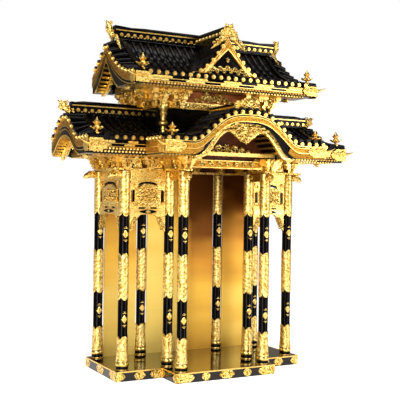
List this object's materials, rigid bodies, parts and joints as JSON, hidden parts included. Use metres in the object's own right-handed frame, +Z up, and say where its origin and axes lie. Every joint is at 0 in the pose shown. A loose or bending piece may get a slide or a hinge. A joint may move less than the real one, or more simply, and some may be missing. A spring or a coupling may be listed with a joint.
{
  "type": "temple altar shrine",
  "caption": "Lacquered and gilt altar shrine on round columns, with gabled wings, a wave-gabled porch, an upper storey and a roof dormer over an open chamber.",
  "frame": {"origin": "underside of the plinth, directly below the ridges of the roofs", "axes": "+Z up, -Y to the front of the shrine, +X to its right as seen from the front"},
  "size_m": [1.7906, 0.875, 2.0783],
  "materials": {
    "black_lacquer": "black lacquer, polished, with gilt fittings",
    "gilt_fittings": "carved wood and fittings finished in gold",
    "gold_leaf": "gold leaf on lacquered panels"
  },
  "bodies": {
    "root": {"beam_porch_front": "gilt_fittings", "beam_porch_side_left": "gilt_fittings", "beam_porch_side_right": "gilt_fittings", "beam_side_left": "gilt_fittings", "beam_side_right": "gilt_fittings", "beam_wing_left": "gilt_fittings", "beam_wing_right": "gilt_fittings", "brackets_back": "gilt_fittings", "brackets_porch_left": "gilt_fittings", "brackets_porch_right": "gilt_fittings", "brackets_side_left": "gilt_fittings", "brackets_side_right": "gilt_fittings", "brackets_wing_left": "gilt_fittings", "brackets_wing_right": "gilt_fittings", "column_back_inner_left": "black_lacquer", "column_back_inner_right": "black_lacquer", "column_back_outer_left": "black_lacquer", "column_back_outer_right": "black_lacquer", "column_front_inner_left": "black_lacquer", "column_front_inner_right": "black_lacquer", "column_front_outer_left": "black_lacquer", "column_front_outer_right": "black_lacquer", "column_porch_left": "black_lacquer", "column_porch_right": "black_lacquer", "crest_dormer": "gilt_fittings", "crest_lower_left": "gilt_fittings", "crest_lower_right": "gilt_fittings", "crest_porch": "gilt_fittings", "crest_upper_left": "gilt_fittings", "crest_upper_right": "gilt_fittings", "dormer_board": "gilt_fittings", "finial_lower_left": "gilt_fittings", "finial_lower_right": "gilt_fittings", "finial_porch_left": "gilt_fittings", "finial_porch_right": "gilt_fittings", "finial_upper_left": "gilt_fittings", "finial_upper_right": "gilt_fittings", "gable_board_lower_left": "gilt_fittings", "gable_board_lower_right": "gilt_fittings", "gable_board_upper_left": "gilt_fittings", "gable_board_upper_right": "gilt_fittings", "lower_roof_left": "black_lacquer", "lower_roof_right": "black_lacquer", "panel_side_left": "gilt_fittings", "panel_side_right": "gilt_fittings", "panel_wing_left": "gilt_fittings", "panel_wing_right": "gilt_fittings", "plinth": "black_lacquer", "porch_board": "gilt_fittings", "porch_roof": "black_lacquer", "ridge_lower_left": "black_lacquer", "ridge_lower_right": "black_lacquer", "ridge_porch": "black_lacquer", "ridge_upper": "black_lacquer", "upper_body": "black_lacquer", "upper_brackets": "gilt_fittings", "upper_roof": "black_lacquer", "wall_center": "gold_leaf", "wall_left": "gold_leaf", "wall_right": "gold_leaf"}
  },
  "joints": []
}
